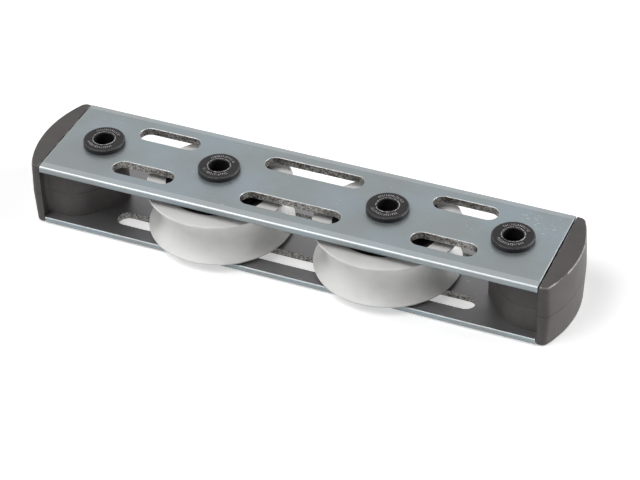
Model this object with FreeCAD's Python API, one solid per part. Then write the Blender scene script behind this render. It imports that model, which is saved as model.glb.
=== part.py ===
import FreeCAD, Part
import math
import os

# Deck organiser with two sheaves. Two slotted plates are held apart by an end cap at
# each end, and two grooved sheaves turn on sleeves between them. Four bolt holes on
# the middle line go through the whole stack, and each is lined with bushes.
#
# Frame: +X runs along the plates, +Y across them and +Z up. The origin is the middle
# of the bottom plate's underside. Every size is in millimetres.

# Sheaves, and what sets the layout along the plates
SHEAVE_DIAMETER = 60.0
SHEAVE_WIDTH = 19.2
SHEAVE_GAP = 13.0
LINE_WAY = 12.9
NOSE_TO_END_HOLE = 9.1
END_HOLE_TO_PLATE_END = 17.85

# Plates
PLATE_WIDTH = 47.6
PLATE_THICKNESS = 3.2
EDGE_BAND_WIDTH = 3.8
EDGE_BAND_DROP = 0.5
EDGE_BAND_BLEND = 8.0
PLATE_OUTER_ROUND = 0.8
PLATE_INNER_ROUND = 0.3
EDGE_BREAK = 0.3
PLATE_END_BREAK = 0.2

# Slots in the plates
SLOT_WIDTH = 8.3
SLOT_TO_PLATE_EDGE = 7.35
MIDDLE_SLOT_TO_AXLE = 15.15
END_SLOT_TO_AXLE = 14.6
END_SLOT_TO_END_HOLE = 10.4

# Bolt passage and bushes
BOLT_HOLE_DIAMETER = 8.2
PLATE_HOLE_DIAMETER = 12.5
BUSH_CLEARANCE = 0.05
BUSH_FLANGE_DIAMETER = 17.2
BUSH_FLANGE_HEIGHT = 2.3
BUSH_FLANGE_ROUND = 0.6
BUSH_LIP_WIDTH = 0.75
BUSH_LIP_HEIGHT = 0.25
BUSH_MOUTH_CHAMFER = 0.35
BUSH_END_RECESS = 0.2
SEAT_FLANGE_HEIGHT = 1.0

# Axle sleeve
SLEEVE_DIAMETER = 16.0
SLEEVE_BORE_DIAMETER = 8.6
SLEEVE_CHAMFER = 0.4
RUNNING_CLEARANCE = 0.06

# Sheave rim
RIM_FACE_WIDTH = 7.9
RIM_EDGE_ROUND = 0.4
RIM_LIP_WIDTH = 0.3
GROOVE_DEPTH = 5.0

# Sheave hub
HUB_FACE_RECESS = 0.8
HUB_RING_WALL = 2.4
HUB_BOSS_WALL = 4.0
HUB_WEB_THICKNESS = 6.0
HUB_RIB_COUNT = 8
HUB_RIB_THICKNESS = 1.8
HUB_RIB_RECESS = 2.2
HUB_ROUND = 0.8

# Thrust washers
LOWER_WASHER_THICKNESS = 0.9
UPPER_WASHER_THICKNESS = 2.0
WASHER_WALL = 4.4
WASHER_CLEARANCE = 0.15
FACE_CLEARANCE = 0.08
SHEAVE_END_PLAY = 0.87

# End caps
CAP_GAP = 0.4
CAP_SIDE_DEPTH = 3.2
CAP_BULGE = 9.0
CAP_DRAFT_ANGLE = 2.5
CAP_CORNER_ROUND = 3.0
CAP_FOOT_ROUND = 0.6
CAP_FOOT_RECESS = 0.4
CAP_SIDE_INSET = 0.4
CAP_SEAM_BREAK = 0.2
BLOCK_INSET = 4.3
BLOCK_SIDE_ANGLE = 49.0
BLOCK_CORNER_ROUND = 12.0
BLOCK_NOSE_ROUND = 9.0
BLOCK_ROOT_ROUND = 2.2
BLOCK_HOLE_DIAMETER = 8.8
PEG_DIAMETER = 6.0
PEG_HEIGHT = 3.0
PEG_OFFSET = 11.5
PEG_FROM_END_HOLE = 8.0
PEG_CLEARANCE = 0.1

# Levels
BOTTOM_PLATE_TOP = PLATE_THICKNESS
SHEAVE_UNDERSIDE = BOTTOM_PLATE_TOP + LOWER_WASHER_THICKNESS + FACE_CLEARANCE
SHEAVE_MIDDLE = SHEAVE_UNDERSIDE + SHEAVE_WIDTH / 2
SHEAVE_TOP = SHEAVE_UNDERSIDE + SHEAVE_WIDTH
TOP_PLATE_UNDERSIDE = SHEAVE_TOP + UPPER_WASHER_THICKNESS + SHEAVE_END_PLAY
TOP_PLATE_TOP = TOP_PLATE_UNDERSIDE + PLATE_THICKNESS
MIDDLE_LEVEL = TOP_PLATE_TOP / 2

# Places along the plates
SHEAVE_RADIUS = SHEAVE_DIAMETER / 2
AXLE_X = SHEAVE_GAP / 2 + SHEAVE_RADIUS
NOSE_X = AXLE_X + SHEAVE_RADIUS + LINE_WAY
END_HOLE_X = NOSE_X + NOSE_TO_END_HOLE
PLATE_END_X = END_HOLE_X + END_HOLE_TO_PLATE_END
CAP_FACE_X = PLATE_END_X + CAP_GAP
PLATE_HALF_WIDTH = PLATE_WIDTH / 2
BLOCK_HALF_WIDTH = PLATE_HALF_WIDTH - BLOCK_INSET
CAP_HALF_WIDTH = PLATE_HALF_WIDTH - CAP_SIDE_INSET

# Radii that fit one another
BOLT_HOLE_RADIUS = BOLT_HOLE_DIAMETER / 2
PLATE_HOLE_RADIUS = PLATE_HOLE_DIAMETER / 2
SPIGOT_RADIUS = PLATE_HOLE_RADIUS - BUSH_CLEARANCE
SLEEVE_RADIUS = SLEEVE_DIAMETER / 2
HUB_BORE_RADIUS = SLEEVE_RADIUS + RUNNING_CLEARANCE
HUB_RADIUS = SHEAVE_RADIUS - RIM_FACE_WIDTH


def vec(x, y, z):
    return FreeCAD.Vector(x, y, z)


def in_plan(a, b):
    return vec(a, b, 0)


def in_end_view(a, b):
    return vec(0, a, b)


def about_axis(a, b):
    return vec(a, 0, b)


def corner_tangents(before, corner, after, radius):
    """Start, middle and end of the arc that rounds one corner of a flat outline."""
    arm_in = (before - corner).normalize()
    arm_out = (after - corner).normalize()
    half_angle = arm_in.getAngle(arm_out) / 2
    tangent_length = radius / math.tan(half_angle)
    bisector = (arm_in + arm_out).normalize()
    to_arc = radius / math.sin(half_angle) - radius
    return corner + arm_in * tangent_length, corner + bisector * to_arc, corner + arm_out * tangent_length


def rounded_face(corners, place):
    """Flat face through (a, b, radius) corners, where a radius of 0 leaves a corner sharp."""
    points = [place(a, b) for a, b, radius in corners]
    edges = []
    ends = []
    for i, (a, b, radius) in enumerate(corners):
        corner = points[i]
        if radius == 0:
            ends.append((corner, corner))
            continue
        after = points[(i + 1) % len(points)]
        start, middle, end = corner_tangents(points[i - 1], corner, after, radius)
        edges.append((i, Part.Arc(start, middle, end).toShape()))
        ends.append((start, end))
    for i in range(len(points)):
        line_start = ends[i - 1][1]
        line_end = ends[i][0]
        if line_start.distanceToPoint(line_end) > 0.001:
            edges.append((i - 0.5, Part.LineSegment(line_start, line_end).toShape()))
    edges.sort(key=lambda item: item[0])
    return Part.Face(Part.Wire([edge for place_in_order, edge in edges]))


def turned(corners):
    """Solid turned about the Z axis from a half section of (radius, height, round) corners."""
    return rounded_face(corners, about_axis).revolve(vec(0, 0, 0), vec(0, 0, 1), 360)


def ring(inner_radius, outer_radius, height):
    """Plain ring that stands on the level z = 0."""
    outer = Part.makeCylinder(outer_radius, height)
    return outer.cut(Part.makeCylinder(inner_radius, height))


def moved(shape, x, y, z):
    copy = shape.copy()
    copy.translate(vec(x, y, z))
    return copy


def turned_over(shape, level):
    """Copy rotated half a turn about the line along X at the given level."""
    copy = shape.copy()
    copy.rotate(vec(0, 0, level), vec(1, 0, 0), 180)
    return copy


def swung_round(shape):
    """Copy rotated half a turn about the Z axis, from the right end to the left one."""
    copy = shape.copy()
    copy.rotate(vec(0, 0, 0), vec(0, 0, 1), 180)
    return copy


def slot_prism(x_start, x_end, y, height):
    """Round-ended slot along X, from one rounded tip to the other."""
    radius = SLOT_WIDTH / 2
    left = vec(x_start + radius, y, 0)
    right = vec(x_end - radius, y, 0)
    up = vec(0, radius, 0)
    out = vec(radius, 0, 0)
    outline = [
        Part.LineSegment(left - up, right - up).toShape(),
        Part.Arc(right - up, right + out, right + up).toShape(),
        Part.LineSegment(right + up, left + up).toShape(),
        Part.Arc(left + up, left - out, left - up).toShape(),
    ]
    return Part.Face(Part.Wire(outline)).extrude(vec(0, 0, height))


def slot_spans():
    """The tips of each slot along X: the left end, the middle and the right end."""
    middle_tip = AXLE_X - MIDDLE_SLOT_TO_AXLE
    end_inner_tip = AXLE_X + END_SLOT_TO_AXLE
    end_outer_tip = END_HOLE_X - END_SLOT_TO_END_HOLE
    return [(-end_outer_tip, -end_inner_tip), (-middle_tip, middle_tip), (end_inner_tip, end_outer_tip)]


def hole_places():
    return [-END_HOLE_X, -AXLE_X, AXLE_X, END_HOLE_X]


def break_rims(plate):
    """Small chamfer round each slot and hole of the plate's outer face, at z = its thickness."""
    outer_faces = [
        face for face in plate.Faces
        if face.BoundBox.ZMin > PLATE_THICKNESS - 0.001 and len(face.Wires) > 1
    ]
    rims = [edge for wire in outer_faces[0].Wires[1:] for edge in wire.Edges]
    return plate.makeChamfer(EDGE_BREAK, rims)


def plate_blank():
    """One plate with its inner face at z = 0 and its outer face, with sloped edge bands, on top."""
    band_start = PLATE_HALF_WIDTH - EDGE_BAND_WIDTH
    edge_level = PLATE_THICKNESS - EDGE_BAND_DROP
    section = [
        (-PLATE_HALF_WIDTH, 0, PLATE_INNER_ROUND),
        (PLATE_HALF_WIDTH, 0, PLATE_INNER_ROUND),
        (PLATE_HALF_WIDTH, edge_level, PLATE_OUTER_ROUND),
        (band_start, PLATE_THICKNESS, EDGE_BAND_BLEND),
        (-band_start, PLATE_THICKNESS, EDGE_BAND_BLEND),
        (-PLATE_HALF_WIDTH, edge_level, PLATE_OUTER_ROUND),
    ]
    bar = moved(rounded_face(section, in_end_view).extrude(vec(2 * PLATE_END_X, 0, 0)), -PLATE_END_X, 0, 0)
    bar = bar.makeChamfer(PLATE_END_BREAK, [edge for edge in bar.Edges if edge.BoundBox.XLength < 0.001])
    row_y = PLATE_HALF_WIDTH - SLOT_TO_PLATE_EDGE - SLOT_WIDTH / 2
    cutters = [
        slot_prism(start, end, side * row_y, PLATE_THICKNESS)
        for start, end in slot_spans()
        for side in (-1, 1)
    ]
    for x in hole_places():
        cutters.append(moved(Part.makeCylinder(PLATE_HOLE_RADIUS, PLATE_THICKNESS), x, 0, 0))
    return break_rims(bar.cut(cutters))


def top_bush():
    """Flanged bush whose flange sits on a plate's outer face at z = 0, spigot down."""
    flange_radius = BUSH_FLANGE_DIAMETER / 2
    spigot_end = BUSH_END_RECESS - PLATE_THICKNESS
    lip_top = BUSH_FLANGE_HEIGHT + BUSH_LIP_HEIGHT
    lip_radius = BOLT_HOLE_RADIUS + BUSH_LIP_WIDTH
    return turned([
        (BOLT_HOLE_RADIUS, spigot_end, 0),
        (SPIGOT_RADIUS, spigot_end, 0),
        (SPIGOT_RADIUS, 0, 0),
        (flange_radius, 0, 0),
        (flange_radius, BUSH_FLANGE_HEIGHT, BUSH_FLANGE_ROUND),
        (lip_radius, BUSH_FLANGE_HEIGHT, 0),
        (lip_radius, lip_top, 0),
        (BOLT_HOLE_RADIUS + BUSH_MOUTH_CHAMFER, lip_top, 0),
        (BOLT_HOLE_RADIUS, lip_top - BUSH_MOUTH_CHAMFER, 0),
    ])


def bottom_bush():
    """Bush dropped into the bottom plate from inside: a thin seat flange on z = 0, spigot down."""
    spigot_end = BUSH_END_RECESS - PLATE_THICKNESS
    return turned([
        (BOLT_HOLE_RADIUS, spigot_end, 0),
        (SPIGOT_RADIUS, spigot_end, 0),
        (SPIGOT_RADIUS, 0, 0),
        (SLEEVE_RADIUS, 0, 0),
        (SLEEVE_RADIUS, SEAT_FLANGE_HEIGHT, 0),
        (BOLT_HOLE_RADIUS, SEAT_FLANGE_HEIGHT, 0),
    ])


def axle_sleeve():
    """Tube from the bottom bush's flange to the top plate, chamfered at both outer ends."""
    bore_radius = SLEEVE_BORE_DIAMETER / 2
    length = TOP_PLATE_UNDERSIDE - BOTTOM_PLATE_TOP - SEAT_FLANGE_HEIGHT
    return turned([
        (bore_radius, 0, 0),
        (SLEEVE_RADIUS - SLEEVE_CHAMFER, 0, 0),
        (SLEEVE_RADIUS, SLEEVE_CHAMFER, 0),
        (SLEEVE_RADIUS, length - SLEEVE_CHAMFER, 0),
        (SLEEVE_RADIUS - SLEEVE_CHAMFER, length, 0),
        (bore_radius, length, 0),
    ])


def sheave_rim():
    """Grooved rim about its own middle. The groove is one arc between two narrow lips."""
    half_width = SHEAVE_WIDTH / 2
    groove_half = half_width - RIM_EDGE_ROUND - RIM_LIP_WIDTH
    groove_radius = (groove_half ** 2 + GROOVE_DEPTH ** 2) / (2 * GROOVE_DEPTH)
    blank = turned([
        (HUB_RADIUS, -half_width, 0),
        (SHEAVE_RADIUS, -half_width, RIM_EDGE_ROUND),
        (SHEAVE_RADIUS, half_width, RIM_EDGE_ROUND),
        (HUB_RADIUS, half_width, 0),
    ])
    groove = Part.makeTorus(SHEAVE_RADIUS - GROOVE_DEPTH + groove_radius, groove_radius)
    return blank.cut(groove)


def sheave_hub():
    """Moulded hub about its own middle: a bored boss, a web, an outer ring and radial ribs."""
    half_width = SHEAVE_WIDTH / 2
    ring_half = half_width - HUB_FACE_RECESS
    web_half = HUB_WEB_THICKNESS / 2
    boss_radius = HUB_BORE_RADIUS + HUB_BOSS_WALL
    ring_inner = HUB_RADIUS - HUB_RING_WALL
    body = turned([
        (HUB_BORE_RADIUS, -half_width, 0),
        (boss_radius, -half_width, 0),
        (boss_radius, -web_half, HUB_ROUND),
        (ring_inner, -web_half, HUB_ROUND),
        (ring_inner, -ring_half, 0),
        (HUB_RADIUS, -ring_half, 0),
        (HUB_RADIUS, ring_half, 0),
        (ring_inner, ring_half, 0),
        (ring_inner, web_half, HUB_ROUND),
        (boss_radius, web_half, HUB_ROUND),
        (boss_radius, half_width, 0),
        (HUB_BORE_RADIUS, half_width, 0),
    ])
    rib_half = half_width - HUB_RIB_RECESS
    rib_start = HUB_BORE_RADIUS + HUB_BOSS_WALL / 2
    rib_end = HUB_RADIUS - HUB_RING_WALL / 2
    rib = Part.makeBox(rib_end - rib_start, HUB_RIB_THICKNESS, 2 * rib_half)
    rib.translate(vec(rib_start, -HUB_RIB_THICKNESS / 2, -rib_half))
    ribs = []
    for i in range(HUB_RIB_COUNT):
        copy = rib.copy()
        copy.rotate(vec(0, 0, 0), vec(0, 0, 1), 360 * (i + 0.5) / HUB_RIB_COUNT)
        ribs.append(copy)
    return body.fuse(ribs).removeSplitter()


def thrust_washer(thickness):
    inner_radius = SLEEVE_RADIUS + WASHER_CLEARANCE
    return ring(inner_radius, SLEEVE_RADIUS + WASHER_WALL, thickness)


def block_prism(height):
    """Spacer block between the plates, in plan: parallel sides, tapered faces and a round nose."""
    slope = math.radians(BLOCK_SIDE_ANGLE)
    nose_centre = NOSE_X + BLOCK_NOSE_ROUND
    apex_x = nose_centre - BLOCK_NOSE_ROUND / math.sin(slope)
    shoulder_x = apex_x + BLOCK_HALF_WIDTH / math.tan(slope)
    outline = [
        (apex_x, 0, BLOCK_NOSE_ROUND),
        (shoulder_x, -BLOCK_HALF_WIDTH, BLOCK_CORNER_ROUND),
        (CAP_FACE_X, -BLOCK_HALF_WIDTH, 0),
        (CAP_FACE_X, BLOCK_HALF_WIDTH, 0),
        (shoulder_x, BLOCK_HALF_WIDTH, BLOCK_CORNER_ROUND),
    ]
    return rounded_face(outline, in_plan).extrude(vec(0, 0, height))


def end_shell():
    """The D-shaped end past the plates, up to the middle level, fullest at the middle."""
    height = MIDDLE_LEVEL - CAP_FOOT_RECESS
    sagitta = CAP_BULGE - CAP_SIDE_DEPTH
    foot_radius = (CAP_HALF_WIDTH ** 2 + sagitta ** 2) / (2 * sagitta)
    growth = height * math.tan(math.radians(CAP_DRAFT_ANGLE))
    round_end = Part.makeCone(foot_radius, foot_radius + growth, height)
    round_end.translate(vec(CAP_FACE_X + CAP_BULGE - foot_radius, 0, 0))
    depth = CAP_BULGE + growth
    block = Part.makeBox(depth, 2 * CAP_HALF_WIDTH, height, vec(CAP_FACE_X, -CAP_HALF_WIDTH, 0))
    shell = block.common(round_end)
    inner_x = CAP_FACE_X + 0.001
    corners = [
        edge for edge in shell.Edges
        if edge.BoundBox.ZLength > height / 2 and edge.BoundBox.XMin > inner_x
    ]
    shell = shell.makeFillet(CAP_CORNER_ROUND, corners)
    foot = [edge for edge in shell.Edges if edge.BoundBox.ZMax < 0.001]
    return moved(shell.makeFillet(CAP_FOOT_ROUND, foot), 0, 0, CAP_FOOT_RECESS)


def cap_half():
    """Lower half of the right-hand end cap. All four halves are this one moulding."""
    block_height = MIDDLE_LEVEL - BOTTOM_PLATE_TOP
    block = moved(block_prism(block_height), 0, 0, BOTTOM_PLATE_TOP)
    half = block.fuse(end_shell())
    roots = [
        edge for edge in half.Edges
        if edge.BoundBox.XLength < 0.001 and edge.BoundBox.YLength < 0.001
        and abs(edge.BoundBox.XMin - CAP_FACE_X) < 0.001
        and abs(abs(edge.BoundBox.YMin) - BLOCK_HALF_WIDTH) < 0.001
        and edge.BoundBox.ZMin > BOTTOM_PLATE_TOP - 0.001
    ]
    half = half.makeFillet(BLOCK_ROOT_ROUND, roots)
    seam = [edge for edge in half.Edges if edge.BoundBox.ZMin > MIDDLE_LEVEL - 0.001]
    half = half.makeChamfer(CAP_SEAM_BREAK, seam)
    hole = Part.makeCylinder(BLOCK_HOLE_DIAMETER / 2, block_height, vec(END_HOLE_X, 0, BOTTOM_PLATE_TOP))
    seat_radius = SLEEVE_RADIUS + WASHER_CLEARANCE
    seat_depth = SEAT_FLANGE_HEIGHT + FACE_CLEARANCE
    seat = Part.makeCylinder(seat_radius, seat_depth, vec(END_HOLE_X, 0, BOTTOM_PLATE_TOP))
    peg_x = END_HOLE_X + PEG_FROM_END_HOLE
    peg = Part.makeCylinder(PEG_DIAMETER / 2, PEG_HEIGHT, vec(peg_x, PEG_OFFSET, MIDDLE_LEVEL))
    socket_depth = PEG_HEIGHT + PEG_CLEARANCE
    socket_centre = vec(peg_x, -PEG_OFFSET, MIDDLE_LEVEL - socket_depth)
    socket = Part.makeCylinder(PEG_DIAMETER / 2 + PEG_CLEARANCE, socket_depth, socket_centre)
    return half.cut([hole, seat, socket]).fuse(peg).removeSplitter()


def plates():
    blank = plate_blank()
    return {
        "top_plate": moved(blank, 0, 0, TOP_PLATE_UNDERSIDE),
        "bottom_plate": moved(turned_over(blank, 0), 0, 0, BOTTOM_PLATE_TOP),
    }


def end_caps():
    right_lower = cap_half()
    right_upper = turned_over(right_lower, MIDDLE_LEVEL)
    return {
        "right_end_cap_lower": right_lower,
        "right_end_cap_upper": right_upper,
        "left_end_cap_lower": swung_round(right_lower),
        "left_end_cap_upper": swung_round(right_upper),
    }


def bushes():
    names = ["left_outer", "left_inner", "right_inner", "right_outer"]
    pieces = {}
    for name, x in zip(names, hole_places()):
        pieces[name + "_top_bush"] = moved(top_bush(), x, 0, TOP_PLATE_TOP)
        pieces[name + "_bottom_bush"] = moved(bottom_bush(), x, 0, BOTTOM_PLATE_TOP)
    return pieces


def sheave_set(side, x):
    """One sheave with its hub, its sleeve and the two washers, on the axle line at x."""
    sleeve_level = BOTTOM_PLATE_TOP + SEAT_FLANGE_HEIGHT
    return {
        side + "_axle_sleeve": moved(axle_sleeve(), x, 0, sleeve_level),
        side + "_sheave_rim": moved(sheave_rim(), x, 0, SHEAVE_MIDDLE),
        side + "_sheave_hub": moved(sheave_hub(), x, 0, SHEAVE_MIDDLE),
        side + "_lower_washer": moved(thrust_washer(LOWER_WASHER_THICKNESS), x, 0, BOTTOM_PLATE_TOP),
        side + "_upper_washer": moved(thrust_washer(UPPER_WASHER_THICKNESS), x, 0, SHEAVE_TOP),
    }


def organiser():
    pieces = plates()
    pieces.update(end_caps())
    pieces.update(bushes())
    pieces.update(sheave_set("left", -AXLE_X))
    pieces.update(sheave_set("right", AXLE_X))
    return pieces


os.makedirs("parts", exist_ok=True)
for node, shape in organiser().items():
    shape.exportStep("parts/" + node + ".step")
    box = shape.BoundBox
    print(node, len(shape.Solids), shape.isValid(), round(shape.Volume, 1),
          [round(v, 2) for v in (box.XMin, box.XMax, box.YMin, box.YMax, box.ZMin, box.ZMax)])
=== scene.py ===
import math

import bmesh
import bpy
from mathutils import Matrix, Vector


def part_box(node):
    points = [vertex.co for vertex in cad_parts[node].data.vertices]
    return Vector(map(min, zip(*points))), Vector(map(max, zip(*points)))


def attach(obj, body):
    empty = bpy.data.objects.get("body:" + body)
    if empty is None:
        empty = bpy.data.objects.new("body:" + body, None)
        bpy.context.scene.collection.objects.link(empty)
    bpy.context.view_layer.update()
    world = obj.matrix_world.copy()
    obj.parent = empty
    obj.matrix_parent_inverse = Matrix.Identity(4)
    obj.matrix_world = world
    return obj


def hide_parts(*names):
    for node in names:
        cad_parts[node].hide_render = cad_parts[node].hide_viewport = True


# Looks of a deck organiser: two slotted, anodised plates, moulded end caps in halves,
# flanged bushes in the bolt holes, and two white sheaves on dark hubs. Lengths are in
# metres, and places along the object are read from the frame.

bl_info = {
    "name": "Deck organiser with two sheaves",
    "version": (1, 0, 0),
    "blender": (4, 5, 0),
    "location": "3D View > Sidebar > Organiser",
    "description": "Builds the visible pieces of a deck organiser around its frame",
    "category": "Add Mesh",
}

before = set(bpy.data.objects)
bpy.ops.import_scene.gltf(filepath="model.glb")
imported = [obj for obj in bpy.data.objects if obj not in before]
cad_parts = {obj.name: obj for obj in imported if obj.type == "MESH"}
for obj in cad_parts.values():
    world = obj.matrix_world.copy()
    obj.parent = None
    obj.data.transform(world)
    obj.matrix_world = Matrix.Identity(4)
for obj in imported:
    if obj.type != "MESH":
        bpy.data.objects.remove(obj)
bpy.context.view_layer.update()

MM = 0.001
TINY = 1e-6
SIDES = (-1, 1)
RUB_AND_HIGHLIGHT = "rubbed_and_highlit_rim"
CUT = "cut_wall"
INNER = "inner_face"


def linear(code):
    """Linear colour of an sRGB hex code."""
    channels = [int(code[i:i + 2], 16) / 255 for i in (0, 2, 4)]
    return [c / 12.92 if c <= 0.04045 else ((c + 0.055) / 1.055) ** 2.4 for c in channels]


def length(name, description, millimetres):
    return bpy.props.FloatProperty(
        name=name, description=description, default=millimetres * MM, unit="LENGTH", precision=5)


def turn(name, description, degrees):
    return bpy.props.FloatProperty(
        name=name, description=description, default=math.radians(degrees), subtype="ANGLE")


def colour(name, description, code):
    return bpy.props.FloatVectorProperty(
        name=name, description=description, default=linear(code), subtype="COLOR", size=3, min=0, max=1)


def share(name, description, part):
    return bpy.props.FloatProperty(name=name, description=description, default=part, min=0, max=1)


class PlateSettings(bpy.types.PropertyGroup):
    """Sizes and colours of the two plates."""
    band_width: length("Edge band", "Width of the sloped band along each long edge", 3.8)
    band_drop: length("Band drop", "How far the band falls to the plate's edge", 0.5)
    band_blend: length("Band blend", "Setback of the rounding between flat and band", 0.7)
    outer_round: length("Outer round", "Rounding of the long outer edges", 0.8)
    inner_round: length("Inner round", "Rounding of the long inner edges", 0.3)
    end_round: length("End round", "Rounding round both cut ends", 0.2)
    rim_round: length("Rim round", "Rounding of the slots' and holes' outer rims", 0.3)
    hole_diameter: length("Bush hole", "Diameter of the holes that take the bushes", 12.5)
    slot_width: length("Slot width", "Width of every slot", 8.3)
    slot_to_edge: length("Slot to edge", "Metal between a slot and the plate's long edge", 7.35)
    middle_slot: length("Middle slot", "Length of the two slots between the sheaves", 42.7)
    end_slot: length("End slot", "Length of the four slots near the ends", 27.0)
    end_slot_spacing: length("End slot spacing", "Distance between the end slots' middles", 129.2)
    scuffed_corner: bpy.props.FloatVectorProperty(
        name="Scuffed corner", description="Middle of the pale scuffs", default=(0.094, 0.012, 0.0295),
        subtype="TRANSLATION", unit="LENGTH", size=3)
    scuffed_radius: length("Scuffed radius", "How far the scuffs spread", 16)
    # Rim and edge rubs paint a highlight on top of real wear; the band rub is a painted highlight only.
    rim_rub_and_highlight: share("Rim rub", "How far the slots' and holes' rims are rubbed bright", 0.4)
    edge_rub_and_highlight: share("Edge rub", "How far the rounded long and end edges are rubbed bright", 0.4)
    band_highlight: share("Band rub", "How far the sloped bands are rubbed bright", 0.25)
    metal: colour("Anodised metal", "Colour of the etched and anodised faces", "8F9596")
    metal_light: colour("Light metal", "Colour of the brighter patches", "929DA3")
    # Painted shade: the inner faces are drawn darker for the shade between the plates.
    shaded_inner_metal: colour("Inner metal", "Dull grey of the faces that look inwards", "8C8B8D")
    cut_metal: colour("Cut metal", "Colour of the slots' milled walls", "A6A5A2")
    cut_dark: colour("Stained cut metal", "Colour of the stains in the slots' walls", "57534F")
    # Pale metal of real scratches and rubbed rims, and of the painted highlights on edges and bands.
    rubbed_metal_and_highlight: colour("Rubbed metal", "Colour of rims where the anodising is thin", "DADBDC")


class CapSettings(bpy.types.PropertyGroup):
    """Sizes and colours of the end cap halves."""
    side_depth: length("Side depth", "Depth of the flat side past the plate's end", 3.2)
    bulge: length("Bulge", "How far the round end stands out at its foot", 9.0)
    draft: turn("Draft", "Mould draft of the round end", 2.5)
    corner_round: length("Corner round", "Radius of the upright outer corners", 3.0)
    foot_round: length("Foot round", "Radius round the lower face", 0.6)
    block_inset: length("Block inset", "How far the block's sides lie behind the plate's edge", 4.3)
    block_angle: turn("Block taper", "Angle between the block's tapered faces and its sides", 49)
    shoulder_round: length("Shoulder round", "Radius where the sides turn into the taper", 12.0)
    nose_round: length("Nose round", "Radius of the block's nose", 9.0)
    root_round: length("Root round", "Radius in the corner between block and round end", 2.2)
    hole_diameter: length("Bolt passage", "Diameter of the hole through the block", 8.8)
    parting_round: length("Parting round", "Broken edge where two halves meet", 0.25)
    seat_diameter: length("Seat", "Diameter of the seat for the bottom bush's flange", 16.3)
    seat_depth: length("Seat depth", "Depth of that seat", 1.08)
    peg_diameter: length("Peg", "Diameter of the peg that locates the other half", 6.0)
    peg_height: length("Peg height", "Height of the peg", 3.0)
    peg_offset: length("Peg offset", "Distance of peg and socket from the middle line", 11.5)
    peg_from_hole: length("Peg past hole", "Distance of peg and socket past the bolt hole", 8.0)
    peg_clearance: length("Peg clearance", "Gap round the peg in its socket", 0.1)
    plastic: colour("Cap plastic", "Warm dark grey of the moulding", "4B4847")
    plastic_light: colour("Rubbed cap plastic", "Lighter grey of its rubbed texture", "575453")
    # Painted highlight, with some wear, along the caps' rounded outer edge.
    plastic_rub_and_highlight: colour("Worn cap edge", "Pale grey of the edge round its outer face", "A09E9A")


class BushSettings(bpy.types.PropertyGroup):
    """Sizes and colours of the flanged top bushes."""
    bore_diameter: length("Bore", "Diameter of the bolt hole", 8.2)
    spigot_diameter: length("Spigot", "Diameter of the part in the plate", 12.4)
    flange_height: length("Flange height", "How far the flange stands above the plate", 2.3)
    flange_round: length("Flange round", "Rounding of the flange's outer edge", 0.6)
    lip_width: length("Lip width", "Width of the raised lip round the bore", 0.75)
    mouth_chamfer: length("Mouth chamfer", "Chamfer at the mouth of the bore", 0.35)
    mark_gap: length("Mark gap", "Gap between the lip and the raised marks", 0.7)
    mark_length: length("Mark length", "Length of the raised marks along the radius", 1.3)
    mark_height: length("Mark height", "Height of the raised marks", 0.12)
    # Painted highlight, with some wear, on the flange's rounded edge.
    edge_rub_and_highlight: share("Edge rub", "How far the flange's rounded edge is rubbed grey", 0.12)
    plastic: colour("Bush plastic", "Black of the moulding", "1C1A1C")
    # Pale grey of the lip, mouth and flange edge (painted highlight with wear) and of the marks (dust).
    plastic_light: colour("Bush highlight", "Grey of the rubbed lip and marks", "BEBBBD")


class SheaveSettings(bpy.types.PropertyGroup):
    """Sizes and colours of the sheaves and of what they turn on."""
    rim_inside_diameter: length("Rim inside", "Diameter where rim and hub meet", 44.2)
    edge_round: length("Edge round", "Radius of the rim's outer edges", 0.4)
    lip_width: length("Lip width", "Flat left between edge round and groove", 0.3)
    groove_depth: length("Groove depth", "Depth of the groove", 5.0)
    hub_recess: length("Hub recess", "How far the hub's ring lies below the rim's face", 0.8)
    hub_ring: length("Hub ring", "Wall of the hub's outer ring", 2.4)
    hub_web: length("Hub web", "Thickness of the hub's web", 6.0)
    hub_boss: length("Hub boss", "Wall of the boss round the bore", 4.0)
    hub_bore_diameter: length("Hub bore", "Diameter of the running bore", 16.12)
    hub_round: length("Hub round", "Radius at the foot of boss and ring", 0.8)
    rib_count: bpy.props.IntProperty(name="Ribs", description="Ribs that stiffen the web", default=8)
    rib_thickness: length("Rib thickness", "Thickness of the ribs", 1.8)
    rib_recess: length("Rib recess", "How far the ribs lie below the rim's face", 2.2)
    white: colour("Sheave white", "White of the turned rim", "F2F2F0")
    white_shade: colour("Sheave grey", "Greyer white of its scuffs", "DCDAD5")
    hub_black: colour("Hub black", "Black of the moulded hub", "242223")
    hub_grey: colour("Hub grey", "Grey of its rubbed texture", "4E494A")
    steel: colour("Sleeve steel", "Turned stainless steel of the axle sleeves", "B9B8B5")
    steel_dark: colour("Sleeve lines", "Darker steel of the lathe lines", "9E9C99")


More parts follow.
